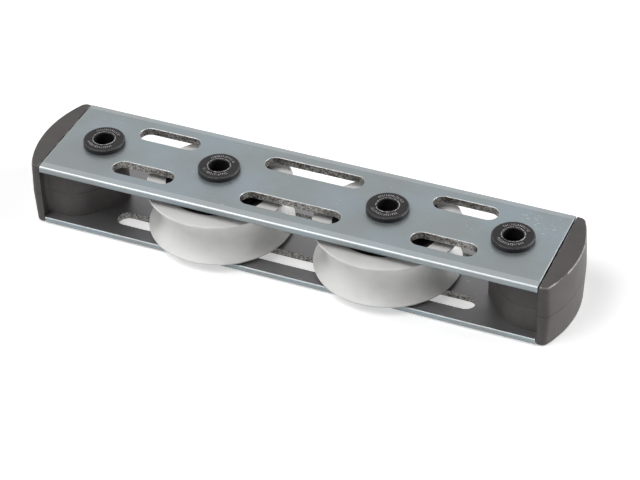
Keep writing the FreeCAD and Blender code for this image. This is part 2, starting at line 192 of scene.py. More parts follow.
class StageSettings(bpy.types.PropertyGroup):
    """Camera, lamps and floor."""
    azimuth: turn("Azimuth", "How far round to the right the camera stands", 24.14)
    elevation: turn("Elevation", "How far above the floor the camera looks down from", 38.18)
    roll: turn("Roll", "Turn of the camera about its line of sight", -1.84)
    distance: length("Distance", "From the camera to the point that it looks at", 893.2)
    target: bpy.props.FloatVectorProperty(
        name="Target", description="Point that the camera looks at", default=(0.0080, -0.0022, 0.0079),
        subtype="TRANSLATION", unit="LENGTH", size=3)
    focal_length: bpy.props.FloatProperty(
        name="Focal length", description="Lens of the camera in millimetres", default=124.98)
    sensor_width: bpy.props.FloatProperty(
        name="Sensor width", description="Width of the sensor in millimetres", default=36.0)
    lamp_distance: length("Lamp distance", "From the object's foot to each soft box", 1300)
    sky_strength: share("Sky", "Strength of the even light from all round", 0.02)
    floor_glow: share("Floor glow", "White added to the floor where the camera sees it", 0.42)
    floor: colour("Floor", "Colour of the pale floor", "F4F4F4")


def add_node(tree, kind, settings, links):
    """Adds a shader node with its settings, links or sets its inputs, and returns its outputs."""
    node = tree.nodes.new("ShaderNode" + kind)
    for name, value in settings.items():
        setattr(node, name, value)
    for name, value in links.items():
        if isinstance(value, bpy.types.NodeSocket):
            tree.links.new(value, node.inputs[name])
        else:
            node.inputs[name].default_value = value
    return node.outputs


def start_finish(name, constants):
    """New material: returns it with its tree, its shader's inputs and the object's coordinates."""
    material = bpy.data.materials.new(name)
    material.use_nodes = True
    tree = material.node_tree
    shader = tree.nodes["Principled BSDF"].inputs
    for socket, value in constants.items():
        shader[socket].default_value = value
    place = add_node(tree, "TexCoord", {}, {})["Object"]
    return material, tree, shader, place


def end_finish(tree, shader, base, pattern, rough, height, depth, strength):
    """Links the colour, a roughness that follows the pattern within its limits, and the relief."""
    tree.links.new(base, shader["Base Color"])
    roughness = add_node(tree, "MapRange", {}, {
        "Value": pattern, "From Min": 0.3, "From Max": 0.7, "To Min": rough[0], "To Max": rough[1]})["Result"]
    tree.links.new(roughness, shader["Roughness"])
    bump = add_node(tree, "Bump", {}, {"Height": height, "Distance": depth, "Strength": strength})["Normal"]
    tree.links.new(bump, shader["Normal"])


def speckled_walls(tree, place, settings):
    """Colour of milled walls: pale metal with dark specks where the cutter tore it."""
    chatter = add_node(tree, "TexNoise", {}, {"Vector": place, "Scale": 1 / (0.7 * MM), "Detail": 3.0})["Fac"]
    specks = add_node(tree, "MapRange", {}, {"Value": chatter, "From Min": 0.4, "From Max": 0.62})["Result"]
    return add_node(tree, "Mix", {"data_type": "RGBA"}, {
        "Factor": specks, 6: (*settings.cut_dark, 1), 7: (*settings.cut_metal, 1)})[2]


def corner_scratches(tree, place, settings):
    """1 on short skew scratches, which crowd round the scuffed corner, and 0 beside them."""
    apart = add_node(tree, "VectorMath", {"operation": "DISTANCE"}, {
        0: place, 1: settings.scuffed_corner})["Value"]
    nearby = add_node(tree, "MapRange", {}, {
        "Value": apart, "From Min": settings.scuffed_radius, "From Max": 0, "To Max": 0.12})["Result"]
    skewed = add_node(tree, "Mapping", {}, {
        "Vector": place, "Rotation": (0, 0, math.radians(50)), "Scale": (0.25, 1, 1)})["Vector"]
    noise = add_node(tree, "TexNoise", {}, {"Vector": skewed, "Scale": 1 / (0.6 * MM), "Detail": 3.0})["Fac"]
    crowded = add_node(tree, "Math", {"operation": "ADD"}, {0: noise, 1: nearby})["Value"]
    return add_node(tree, "MapRange", {}, {
        "Value": crowded, "From Min": 0.715, "From Max": 0.755})["Result"]


def anodised_aluminium(settings):
    """Extruded aluminium bar, etched matt and anodised clear: a cool grey with a fine grain and
    faint die lines along the bar. The walls of its slots are speckled and browner where the
    cutter left its marks, the inner faces are painted a darker neutral grey for the shade between
    the plates, edges and rims are rubbed paler and carry a painted highlight, the sloped bands carry
    a fainter painted highlight, and one corner has short pale scratches. The etched grain is drawn
    coarser than it is, or it wouldn't show."""
    material, tree, shader, place = start_finish("anodised_aluminium", {"Metallic": 0.8})
    clouds = add_node(tree, "TexNoise", {}, {"Vector": place, "Scale": 1 / (24 * MM), "Detail": 3.0})["Fac"]
    grain = add_node(tree, "TexNoise", {}, {"Vector": place, "Scale": 1 / (0.5 * MM), "Detail": 2.0})["Fac"]
    along = add_node(tree, "Mapping", {}, {"Vector": place, "Scale": (0.012, 1, 1)})["Vector"]
    lines = add_node(tree, "TexNoise", {}, {"Vector": along, "Scale": 1 / (0.8 * MM), "Detail": 2.0})["Fac"]
    mottle = add_node(tree, "Math", {"operation": "MULTIPLY_ADD"}, {0: grain, 1: 0.5, 2: clouds})["Value"]
    patches = add_node(tree, "MapRange", {}, {"Value": mottle, "From Min": 0.62, "From Max": 0.88})["Result"]
    base = add_node(tree, "Mix", {"data_type": "RGBA"}, {
        "Factor": patches, 6: (*settings.metal, 1), 7: (*settings.metal_light, 1)})[2]
    # Painted shade on the inner faces, which lie between the plates.
    inner = add_node(tree, "Attribute", {"attribute_name": INNER}, {})["Fac"]
    base = add_node(tree, "Mix", {"data_type": "RGBA"}, {
        "Factor": inner, 6: base, 7: (*settings.shaded_inner_metal, 1)})[2]
    cut = add_node(tree, "Attribute", {"attribute_name": CUT}, {})["Fac"]
    base = add_node(tree, "Mix", {"data_type": "RGBA"}, {
        "Factor": cut, 6: base, 7: speckled_walls(tree, place, settings)})[2]
    # Paler rims and edges: wear with a painted highlight; paler bands: painted highlight; plus the real
    # corner scratches.
    lighter_mask = add_node(tree, "Attribute", {"attribute_name": RUB_AND_HIGHLIGHT}, {})["Fac"]
    bright = add_node(tree, "Math", {"operation": "MAXIMUM"}, {
        0: corner_scratches(tree, place, settings), 1: lighter_mask})["Value"]
    paler = add_node(tree, "Math", {"operation": "MULTIPLY"}, {0: bright, 1: 0.75})["Value"]
    base = add_node(tree, "Mix", {"data_type": "RGBA"}, {
        "Factor": paler, 6: base, 7: (*settings.rubbed_metal_and_highlight, 1)})[2]
    relief = add_node(tree, "Math", {"operation": "MULTIPLY_ADD"}, {0: lines, 1: 0.6, 2: grain})["Value"]
    end_finish(tree, shader, base, lines, (0.34, 0.46), relief, 0.008 * MM, 0.6)
    return material


def moulded_nylon(settings):
    """Glass-filled nylon from a spark-eroded mould: warm, matt and dark grey, finely and evenly
    pitted, a little lighter where it's rubbed, and pale in places along its rounded outer edge,
    rubbed there and with a painted highlight. The pits are drawn coarser than they are, to show."""
    material, tree, shader, place = start_finish(
        "moulded_glass_filled_nylon", {"IOR": 1.53, "Specular IOR Level": 0.3})
    patches = add_node(tree, "TexNoise", {}, {"Vector": place, "Scale": 1 / (11 * MM), "Detail": 3.0})["Fac"]
    pits = add_node(tree, "TexNoise", {}, {"Vector": place, "Scale": 1 / (0.55 * MM), "Detail": 3.0})["Fac"]
    mottle = add_node(tree, "Math", {"operation": "ADD"}, {0: patches, 1: pits})["Value"]
    light = add_node(tree, "MapRange", {}, {"Value": mottle, "From Min": 0.75, "From Max": 1.25})["Result"]
    base = add_node(tree, "Mix", {"data_type": "RGBA"}, {
        "Factor": light, 6: (*settings.plastic, 1), 7: (*settings.plastic_light, 1)})[2]
    # Patchy pale line on the rounded outer edge: wear and a painted highlight.
    edge = add_node(tree, "Attribute", {"attribute_name": RUB_AND_HIGHLIGHT}, {})["Fac"]
    patchy = add_node(tree, "TexNoise", {}, {"Vector": place, "Scale": 1 / (4 * MM), "Detail": 3.0})["Fac"]
    patchy = add_node(tree, "MapRange", {}, {"Value": patchy, "From Min": 0.4, "From Max": 0.6})["Result"]
    edge = add_node(tree, "Math", {"operation": "MULTIPLY"}, {0: edge, 1: patchy})["Value"]
    base = add_node(tree, "Mix", {"data_type": "RGBA"}, {
        "Factor": edge, 6: base, 7: (*settings.plastic_rub_and_highlight, 1)})[2]
    end_finish(tree, shader, base, pits, (0.5, 0.64), pits, 0.03 * MM, 0.8)
    return material


def black_acetal(settings):
    """Injection-moulded black acetal: nearly black with a soft sheen and a mottle as coarse as it
    needs to show, paler on the lip, the mouth and the flange's edge, partly rubbed and partly a
    painted highlight, and on the raised marks, which are rubbed and hold dust."""
    material, tree, shader, place = start_finish(
        "moulded_black_acetal", {"IOR": 1.48, "Specular IOR Level": 0.3})
    mottle = add_node(tree, "TexNoise", {}, {"Vector": place, "Scale": 1 / (0.7 * MM), "Detail": 3.0})["Fac"]
    spotty = add_node(tree, "MapRange", {}, {"Value": mottle, "From Min": 0.35, "From Max": 0.6})["Result"]
    # Paler lip, mouth and flange edge: wear and a painted highlight; paler marks: dust.
    lighter_mask = add_node(tree, "Attribute", {"attribute_name": RUB_AND_HIGHLIGHT}, {})["Fac"]
    pale = add_node(tree, "Math", {"operation": "MULTIPLY"}, {0: spotty, 1: lighter_mask})["Value"]
    base = add_node(tree, "Mix", {"data_type": "RGBA"}, {
        "Factor": pale, 6: (*settings.plastic, 1), 7: (*settings.plastic_light, 1)})[2]
    end_finish(tree, shader, base, mottle, (0.36, 0.5), mottle, 0.03 * MM, 0.6)
    return material


def rings_about(tree, place, x, width):
    """Noise in rings about the upright axis at x, as a lathe leaves them: width is one ring's."""
    centred = add_node(tree, "Mapping", {}, {"Vector": place, "Location": (-x, 0, 0)})["Vector"]
    apart = add_node(tree, "SeparateXYZ", {}, {"Vector": centred})
    flat = add_node(tree, "CombineXYZ", {}, {"X": apart["X"], "Y": apart["Y"]})["Vector"]
    radius = add_node(tree, "VectorMath", {"operation": "LENGTH"}, {"Vector": flat})["Value"]
    section = add_node(tree, "CombineXYZ", {}, {"X": radius, "Y": apart["Z"]})["Vector"]
    return add_node(tree, "TexNoise", {}, {"Vector": section, "Scale": 1 / width, "Detail": 2.0})["Fac"]


def white_acetal(settings, side, x):
    """White acetal, moulded and then skimmed on a lathe: matt white with a waxy gloss, very
    faint rings round the axle, and a few grey specks and soft scuffs."""
    material, tree, shader, place = start_finish("turned_white_acetal_" + side, {"IOR": 1.48})
    rings = rings_about(tree, place, x, 0.4 * MM)
    clouds = add_node(tree, "TexNoise", {}, {"Vector": place, "Scale": 1 / (9 * MM), "Detail": 2.0})["Fac"]
    scuffs = add_node(tree, "MapRange", {}, {
        "Value": clouds, "From Min": 0.45, "From Max": 0.75, "To Max": 0.5})["Result"]
    dots = add_node(tree, "TexNoise", {}, {"Vector": place, "Scale": 1 / (1.3 * MM), "Detail": 1.0})["Fac"]
    specks = add_node(tree, "MapRange", {}, {"Value": dots, "From Min": 0.76, "From Max": 0.82})["Result"]
    shade = add_node(tree, "Math", {"operation": "MAXIMUM"}, {0: scuffs, 1: specks})["Value"]
    base = add_node(tree, "Mix", {"data_type": "RGBA"}, {
        "Factor": shade, 6: (*settings.white, 1), 7: (*settings.white_shade, 1)})[2]
    end_finish(tree, shader, base, rings, (0.4, 0.48), rings, 0.003 * MM, 0.5)
    return material


def black_nylon(settings):
    """Black nylon, moulded for the hubs and washers: matt, with grey rubbing marks and a mould
    texture that is drawn coarser than it is, to show."""
    material, tree, shader, place = start_finish("moulded_black_nylon", {"IOR": 1.53})
    grain = add_node(tree, "TexNoise", {}, {"Vector": place, "Scale": 1 / (0.7 * MM), "Detail": 3.0})["Fac"]
    swirls = add_node(tree, "TexNoise", {}, {"Vector": place, "Scale": 1 / (3 * MM), "Detail": 4.0})["Fac"]
    lighter_mask = add_node(tree, "MapRange", {}, {
        "Value": swirls, "From Min": 0.42, "From Max": 0.75, "To Max": 0.6})["Result"]
    base = add_node(tree, "Mix", {"data_type": "RGBA"}, {
        "Factor": lighter_mask, 6: (*settings.hub_black, 1), 7: (*settings.hub_grey, 1)})[2]
    end_finish(tree, shader, base, grain, (0.45, 0.6), grain, 0.02 * MM, 0.6)
    return material


def stainless_steel(settings, side, x):
    """Stainless steel bar turned on a lathe: bright, with fine rings along its length."""
    material, tree, shader, place = start_finish("turned_stainless_steel_" + side, {"Metallic": 1.0})
    rings = rings_about(tree, place, x, 0.25 * MM)
    base = add_node(tree, "Mix", {"data_type": "RGBA"}, {
        "Factor": rings, 6: (*settings.steel, 1), 7: (*settings.steel_dark, 1)})[2]
    end_finish(tree, shader, base, rings, (0.22, 0.36), rings, 0.01 * MM, 0.7)
    return material


def place_piece(form, name, finish, body, replaced):
    """Makes the form a piece that rides on a body and stands for the node that it replaces."""
    if any(not edge.is_manifold for edge in form.edges):
        raise RuntimeError(name + " is not closed")
    mesh = bpy.data.meshes.new(name)
    form.to_mesh(mesh)
    form.free()
    mesh.materials.append(finish)
    mesh.shade_smooth()
    mesh.set_sharp_from_angle(angle=math.radians(35))
    piece = bpy.data.objects.new(name, mesh)
    bpy.context.scene.collection.objects.link(piece)
    flats = piece.modifiers.new("flats_stay_flat", "WEIGHTED_NORMAL")
    flats.keep_sharp = True
    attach(piece, body)
    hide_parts(replaced)
    return piece


def as_object(form):
    mesh = bpy.data.meshes.new("tool")
    form.to_mesh(mesh)
    form.free()
    tool = bpy.data.objects.new("tool", mesh)
    bpy.context.scene.collection.objects.link(tool)
    return tool


def combine(form, other, operation):
    """Adds the other form to this one, or cuts it out. Both are used up."""
    base = as_object(form)
    tool = as_object(other)
    change = base.modifiers.new("combine", "BOOLEAN")
    change.operation = operation
    change.solver = "EXACT"
    change.object = tool
    evaluated = base.evaluated_get(bpy.context.evaluated_depsgraph_get())
    result = bmesh.new()
    result.from_mesh(evaluated.to_mesh())
    evaluated.to_mesh_clear()
    for used in (base, tool):
        mesh = used.data
        bpy.data.objects.remove(used)
        bpy.data.meshes.remove(mesh)
    bmesh.ops.remove_doubles(result, verts=result.verts, dist=TINY)
    bmesh.ops.dissolve_degenerate(result, dist=TINY, edges=result.edges)
    return result


def joined(forms):
    """One form that holds all the forms, which are used up."""
    whole = bmesh.new()
    for form in forms:
        mesh = bpy.data.meshes.new("part")
        form.to_mesh(mesh)
        form.free()
        whole.from_mesh(mesh)
        bpy.data.meshes.remove(mesh)
    return whole


def box_form(low, high):
    form = bmesh.new()
    size = Vector(high) - Vector(low)
    middle = (Vector(high) + Vector(low)) / 2
    bmesh.ops.create_cube(form, size=1, matrix=Matrix.Translation(middle) @ Matrix.Diagonal((*size, 1)))
    return form


def rod_form(x, y, radius, low, high):
    form = bmesh.new()
    middle = Matrix.Translation((x, y, (low + high) / 2))
    bmesh.ops.create_cone(
        form, cap_ends=True, segments=96, radius1=radius, radius2=radius, depth=high - low, matrix=middle)
    return form


def edges_where(form, test):
    """Edges whose two ends both pass the test."""
    return [edge for edge in form.edges if all(test(vert.co) for vert in edge.verts)]


def upright_edges(form, x, y):
    return edges_where(form, lambda p: (p.xy - Vector((x, y))).length < 10 * TINY)


def bevel(form, edges, offset, segments):
    """Rounds the edges and returns the new faces."""
    if not edges:
        raise RuntimeError("no edges to round")
    return bmesh.ops.bevel(
        form, geom=edges, offset=offset, offset_type="OFFSET", segments=segments, profile=0.5,
        affect="EDGES", material=-1, clamp_overlap=False)["faces"]


def raised(form, foot, height):
    """Draws a flat face up into a closed prism, and returns the vertices of its top."""
    grown = bmesh.ops.extrude_face_region(form, geom=[foot], use_keep_orig=True)["geom"]
    top = [item for item in grown if isinstance(item, bmesh.types.BMVert)]
    bmesh.ops.translate(form, verts=top, vec=(0, 0, height))
    bmesh.ops.recalc_face_normals(form, faces=form.faces)
    return top


def bisect(form, place, outwards):
    """Cuts the form by a plane, drops what lies outwards of it and closes the cut."""
    cut = bmesh.ops.bisect_plane(
        form, geom=form.verts[:] + form.edges[:] + form.faces[:], dist=TINY, plane_co=place,
        plane_no=outwards, clear_outer=True)["geom_cut"]
    bmesh.ops.holes_fill(form, edges=[item for item in cut if isinstance(item, bmesh.types.BMEdge)], sides=0)


def turned(profile, steps):
    """Closed ring turned about the Z axis from a section of (radius, height) points."""
    form = bmesh.new()
    points = [form.verts.new((radius, 0, height)) for radius, height in profile]
    section = [form.edges.new((points[i - 1], points[i])) for i in range(len(points))]
    bmesh.ops.spin(
        form, geom=points + section, cent=(0, 0, 0), axis=(0, 0, 1), angle=2 * math.pi, steps=steps,
        use_merge=True)
    bmesh.ops.remove_doubles(form, verts=form.verts, dist=TINY)
    bmesh.ops.recalc_face_normals(form, faces=form.faces)
    return form


def ring_edges(form, radius, height):
    return edges_where(form, lambda p: abs(p.xy.length - radius) < TINY and abs(p.z - height) < TINY)


def moved_to(form, x, y, z):
    bmesh.ops.translate(form, verts=form.verts, vec=(x, y, z))
    return form


def turned_over(form, level):
    """Turns the form half a turn about the line along X at the given level."""
    bmesh.ops.rotate(form, verts=form.verts, cent=(0, 0, level), matrix=Matrix.Rotation(math.pi, 3, "X"))
    return form


def swung_round(form):
    """Turns the form half a turn about the Z axis."""
    bmesh.ops.rotate(form, verts=form.verts, cent=(0, 0, 0), matrix=Matrix.Rotation(math.pi, 3, "Z"))
    return form


def middle_x(node):
    low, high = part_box(node)
    return (low.x + high.x) / 2


def bush_names():
    return ["left_outer", "left_inner", "right_inner", "right_outer"]


def parting_level():
    """Level at which the upper and lower cap halves meet."""
    return (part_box("right_end_cap_lower")[0].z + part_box("right_end_cap_upper")[1].z) / 2


def slot_form(x, y, slot_length, width, height):
    """Round-ended prism that cuts one slot."""
    low = (x - slot_length / 2, y - width / 2, -height)
    form = box_form(low, (x + slot_length / 2, y + width / 2, 2 * height))
    upright = [edge for edge in form.edges if abs(edge.verts[0].co.z - edge.verts[1].co.z) > height]
    bevel(form, upright, width / 2 - TINY / 4, 20)
    bmesh.ops.remove_doubles(form, verts=form.verts, dist=TINY)
    return form


def plate_bar(settings, size):
    """Bar with its inner face at z = 0 and a sloped band along each long edge of its outer face."""
    half_length, half_width = size.x / 2, size.y / 2
    form = box_form((-half_length, -half_width, 0), (half_length, half_width, size.z))
    crease = half_width - settings.band_width
    for side in SIDES:
        bmesh.ops.bisect_plane(
            form, geom=form.verts[:] + form.edges[:] + form.faces[:], plane_co=(0, side * crease, 0),
            plane_no=(0, 1, 0))
    outer = [vert for vert in form.verts if vert.co.z > size.z / 2 and abs(vert.co.y) > crease + TINY]
    bmesh.ops.translate(form, verts=outer, vec=(0, 0, -settings.band_drop))
    roundings = [
        (crease, size.z, settings.band_blend),
        (half_width, size.z - settings.band_drop, settings.outer_round),
        (half_width, 0, settings.inner_round),
    ]
    for y, z, offset in roundings:
        edges = edges_where(form, lambda p: abs(abs(p.y) - y) < TINY and abs(p.z - z) < TINY)
        bevel(form, edges, offset, 4)
    cut_edges = [
        edge for edge in edges_where(form, lambda p: abs(abs(p.x) - half_length) < TINY)
        if min(abs(face.normal.x) for face in edge.link_faces) < 0.5
    ]
    bevel(form, cut_edges, settings.end_round, 2)
    return form


def round_rims(form, settings, size):
    """Rounds the rims of the slots and holes on the outer face. Marks them and the rounded edges
    as rubbed with a painted highlight, the sloped bands, more faintly, with a painted highlight,
    the walls below the rims as cut, and the inner face as inner, for its painted shade."""
    rub_and_highlight = form.faces.layers.float.new(RUB_AND_HIGHLIGHT)
    cut = form.faces.layers.float.new(CUT)
    inner = form.faces.layers.float.new(INNER)
    inside = size.y / 2 - settings.band_width
    for face in form.faces:
        middle = face.calc_center_median()
        at_end = abs(middle.x) > size.x / 2 - MM
        at_side = abs(middle.y) > size.y / 2 - MM
        is_wall = abs(face.normal.z) < 0.1
        is_rounded = max(abs(part) for part in face.normal) < 0.95
        is_band = 0.9 < face.normal.z < 0.995
        if is_wall and abs(middle.y) < inside and not at_end:
            face[cut] = 1
        # Rounded edges get wear with a painted highlight, the bands a painted highlight alone.
        if is_rounded and (at_end or at_side):
            face[rub_and_highlight] = settings.edge_rub_and_highlight
        elif is_band:
            face[rub_and_highlight] = settings.band_highlight
        elif face.normal.z < -0.99:
            face[inner] = 1
    rims = [
        edge for edge in edges_where(form, lambda p: abs(p.z - size.z) < TINY)
        if min(abs(face.normal.z) for face in edge.link_faces) < 0.1
        and all(abs(vert.co.x) < size.x / 2 - TINY for vert in edge.verts)
    ]
    for face in bevel(form, rims, settings.rim_round, 3):
        face[rub_and_highlight] = settings.rim_rub_and_highlight


def plate_form(settings):
    """One plate with its inner face at z = 0 and its outer face up."""
    low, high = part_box("top_plate")
    size = high - low
    row_y = size.y / 2 - settings.slot_to_edge - settings.slot_width / 2
    spacing = settings.end_slot_spacing
    slots = [(-spacing / 2, settings.end_slot), (0, settings.middle_slot), (spacing / 2, settings.end_slot)]
    cutters = [
        slot_form(x, side * row_y, slot_length, settings.slot_width, size.z)
        for x, slot_length in slots
        for side in SIDES
    ]
    for name in bush_names():
        x = middle_x(name + "_top_bush")
        cutters.append(rod_form(x, 0, settings.hole_diameter / 2, -size.z, 2 * size.z))
    form = combine(plate_bar(settings, size), joined(cutters), "DIFFERENCE")
    round_rims(form, settings, size)
    return form


def block_form(settings, nose_x, face_x, half_width, low, high):
    """Spacer block between the plates: parallel sides, tapered faces and a round nose."""
    taper = settings.block_angle
    apex_x = nose_x + settings.nose_round - settings.nose_round / math.sin(taper)
    shoulder_x = apex_x + half_width / math.tan(taper)
    root_x = face_x + settings.side_depth / 2
    form = bmesh.new()
    outline = [(apex_x, 0), (shoulder_x, -half_width), (root_x, -half_width),
               (root_x, half_width), (shoulder_x, half_width)]
    raised(form, form.faces.new([form.verts.new((x, y, low)) for x, y in outline]), high - low)
    bevel(form, upright_edges(form, apex_x, 0), settings.nose_round / math.tan(taper), 20)
    for side in SIDES:
        shoulder = upright_edges(form, shoulder_x, side * half_width)
        bevel(form, shoulder, settings.shoulder_round * math.tan(taper / 2), 12)
    return form


def arc_points(x, y, radius, start, end, steps):
    """Points of an arc about (x, y), from the start angle to the end angle."""
    angles = [start + (end - start) * i / steps for i in range(steps + 1)]
    return [(x + radius * math.cos(angle), y + radius * math.sin(angle)) for angle in angles]


def round_end(settings, face_x, half_width, low, high):
    """D-shaped end past the plates: one wide arc between rounded corners, fullest at the top."""
    sagitta = settings.bulge - settings.side_depth
    radius = (half_width ** 2 + sagitta ** 2) / (2 * sagitta)
    centre_x = face_x + settings.bulge - radius
    corner = settings.corner_round
    corner_y = half_width - corner
    corner_x = centre_x + math.sqrt((radius - corner) ** 2 - corner_y ** 2)
    spread = math.atan2(corner_y, corner_x - centre_x)
    right_angle = math.pi / 2
    outline = [(face_x, half_width), (face_x, -half_width)]
    outline += arc_points(corner_x, -corner_y, corner, -right_angle, -spread, 8)
    outline += arc_points(centre_x, 0, radius, -spread, spread, 72)[1:-1]
    outline += arc_points(corner_x, corner_y, corner, spread, right_angle, 8)
    form = bmesh.new()
    foot = form.faces.new([form.verts.new((x, y, low)) for x, y in outline])
    growth = (high - low) * math.tan(settings.draft)
    for vert in raised(form, foot, high - low):
        if vert.co.x > face_x + TINY:
            vert.co.x += growth
    bevel(form, edges_where(form, lambda p: abs(p.z - low) < TINY), settings.foot_round, 4)
    return form


def fitted_half(form, settings, parting, plate_top, past):
    """The half with its bolt passage, seat and socket cut, and its peg on."""
    hole_x = middle_x("right_outer_top_bush")
    peg_x = hole_x + settings.peg_from_hole
    peg_y = settings.peg_offset
    peg_radius = settings.peg_diameter / 2
    socket_radius = peg_radius + settings.peg_clearance
    socket_foot = parting - settings.peg_height - settings.peg_clearance
    seat_top = plate_top + settings.seat_depth
    cutters = [
        rod_form(hole_x, 0, settings.hole_diameter / 2, -past, 2 * past),
        rod_form(hole_x, 0, settings.seat_diameter / 2, -past, seat_top),
        rod_form(peg_x, -peg_y, socket_radius, socket_foot, past),
    ]
    for cutter in cutters:
        form = combine(form, cutter, "DIFFERENCE")
    peg = rod_form(peg_x, peg_y, peg_radius, socket_foot, parting + settings.peg_height)
    return combine(form, peg, "UNION")


def cap_half_form(settings):
    """Lower half of the right-hand end cap, up to the parting level."""
    foot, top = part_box("right_end_cap_lower")
    plate_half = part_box("bottom_plate")[1].y
    plate_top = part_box("bottom_plate")[1].z
    parting = parting_level()
    face_x = top.x - settings.bulge - (parting - foot.z) * math.tan(settings.draft)
    block_half = plate_half - settings.block_inset
    past = parting + settings.bulge
    form = combine(
        round_end(settings, face_x, top.y, foot.z, past),
        block_form(settings, foot.x, face_x, block_half, plate_top, past + MM), "UNION")
    bisect(form, (0, 0, parting), (0, 0, 1))
    for side in SIDES:
        bevel(form, upright_edges(form, face_x, side * block_half), settings.root_round, 6)
    seam = [
        edge for edge in edges_where(form, lambda p: abs(p.z - parting) < TINY)
        if min(abs(face.normal.z) for face in edge.link_faces) < 0.5
    ]
    bevel(form, seam, settings.parting_round, 2)
    form = fitted_half(form, settings, parting, plate_top, past)
    # The rounded outer edge gets the pale line: wear and a painted highlight.
    rub_and_highlight = form.faces.layers.float.new(RUB_AND_HIGHLIGHT)
    for face in form.faces:
        is_rounded = 0.15 < abs(face.normal.z) < 0.97
        if is_rounded and face.calc_center_median().z < foot.z + settings.foot_round:
            face[rub_and_highlight] = 1
    return form


def raise_marks(form, settings, inside, outside, level, steps):
    """Raises short radial marks in two arcs of the flange's face, and marks them as rubbed."""
    rub_and_highlight = form.faces.layers.float[RUB_AND_HIGHLIGHT]
    chosen = []
    for face in form.faces:
        middle = face.calc_center_median()
        step = math.floor(math.atan2(middle.y, middle.x) / (2 * math.pi) * steps)
        from_side = min(step % (steps // 2), -step % (steps // 2))
        in_band = inside < middle.xy.length < outside and abs(middle.z - level) < TINY
        if in_band and step % 2 == 0 and from_side > steps // 12:
            chosen.append(face)
    bmesh.ops.inset_individual(
        form, faces=chosen, thickness=settings.mark_height / 3, depth=settings.mark_height)
    for face in chosen:
        face[rub_and_highlight] = 1


def top_bush_form(settings):
    """Flanged bush with its flange on z = 0: a spigot, a lip round the bore and raised marks."""
    low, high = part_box("right_outer_top_bush")
    plate_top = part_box("top_plate")[1].z
    bore = settings.bore_diameter / 2
    spigot = settings.spigot_diameter / 2
    flange = (high.x - low.x) / 2
    lip = bore + settings.lip_width
    spigot_end = low.z - plate_top
    lip_top = high.z - plate_top
    flange_top = settings.flange_height
    marks_start = lip + settings.mark_gap
    marks_end = marks_start + settings.mark_length
    steps = 96
    form = turned([
        (bore, spigot_end), (spigot, spigot_end), (spigot, 0), (flange, 0), (flange, flange_top),
        (marks_end, flange_top), (marks_start, flange_top), (lip, flange_top), (lip, lip_top),
        (bore + settings.mouth_chamfer, lip_top), (bore, lip_top - settings.mouth_chamfer),
    ], steps)
    rub_and_highlight = form.faces.layers.float.new(RUB_AND_HIGHLIGHT)
    # Painted highlight, with some wear, on the flange's edge, the mouth and the lip's top.
    for face in bevel(form, ring_edges(form, flange, flange_top), settings.flange_round, 5):
        face[rub_and_highlight] = settings.edge_rub_and_highlight
    for face in bevel(form, ring_edges(form, lip, lip_top), settings.mouth_chamfer / 3, 2):
        face[rub_and_highlight] = 1
    for face in form.faces:
        if abs(face.calc_center_median().z - lip_top) < TINY:
            face[rub_and_highlight] = 1
    raise_marks(form, settings, marks_start, marks_end, flange_top, steps)
    return form


def rim_form(settings, radius, half_width):
    """Grooved rim about its own middle. The groove is one arc between two narrow lips."""
    groove_half = half_width - settings.edge_round - settings.lip_width
    depth = settings.groove_depth
    arc_radius = (groove_half ** 2 + depth ** 2) / (2 * depth)
    arc_half = math.asin(groove_half / arc_radius)
    arc_middle = radius - depth + arc_radius
    arc_steps = 28
    inside = settings.rim_inside_diameter / 2
    angles = [arc_half * (2 * i / arc_steps - 1) for i in range(arc_steps + 1)]
    groove = [(arc_middle - arc_radius * math.cos(a), arc_radius * math.sin(a)) for a in angles]
    form = turned([(inside, -half_width), (radius, -half_width), *groove, (radius, half_width),
                   (inside, half_width)], 192)
    for side in SIDES:
        bevel(form, ring_edges(form, radius, side * half_width), settings.edge_round, 5)
        bevel(form, ring_edges(form, inside, side * half_width), settings.edge_round / 4, 2)
    return form


def hub_form(settings, half_width):
    """Moulded hub about its own middle: a bored boss, a web, an outer ring and radial ribs."""
    bore = settings.hub_bore_diameter / 2
    boss = bore + settings.hub_boss
    outside = settings.rim_inside_diameter / 2
    ring = outside - settings.hub_ring
    web = settings.hub_web / 2
    ring_half = half_width - settings.hub_recess
    form = turned([
        (bore, -half_width), (boss, -half_width), (boss, -web), (ring, -web), (ring, -ring_half),
        (outside, -ring_half), (outside, ring_half), (ring, ring_half), (ring, web), (boss, web),
        (boss, half_width), (bore, half_width),
    ], 144)
    for side in SIDES:
        for foot in (boss, ring):
            bevel(form, ring_edges(form, foot, side * web), settings.hub_round, 4)
    rib_half = half_width - settings.rib_recess
    rib_wall = settings.rib_thickness / 2
    start, end = bore + settings.hub_boss / 2, outside - settings.hub_ring / 2
    ribs = []
    for i in range(settings.rib_count):
        rib = box_form((start, -rib_wall, -rib_half), (end, rib_wall, rib_half))
        angle = 2 * math.pi * (i + 0.5) / settings.rib_count
        bmesh.ops.rotate(rib, verts=rib.verts, cent=(0, 0, 0), matrix=Matrix.Rotation(angle, 3, "Z"))
        ribs.append(rib)
    return combine(form, joined(ribs), "UNION")


class ORGANISER_OT_plates(bpy.types.Operator):
    """Make the two slotted plates"""
    bl_idname = "organiser.plates"
    bl_label = "Plates"

    def execute(self, context):
        settings = context.scene.organiser_plates
        finish = anodised_aluminium(settings)
        top_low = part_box("top_plate")[0]
        bottom_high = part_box("bottom_plate")[1]
        bottom = plate_form(settings)
        top = moved_to(bottom.copy(), 0, 0, top_low.z)
        moved_to(turned_over(bottom, 0), 0, 0, bottom_high.z)
        place_piece(top, "top_plate_bar", finish, "frame", "top_plate")
        place_piece(bottom, "bottom_plate_bar", finish, "frame", "bottom_plate")
        return {"FINISHED"}


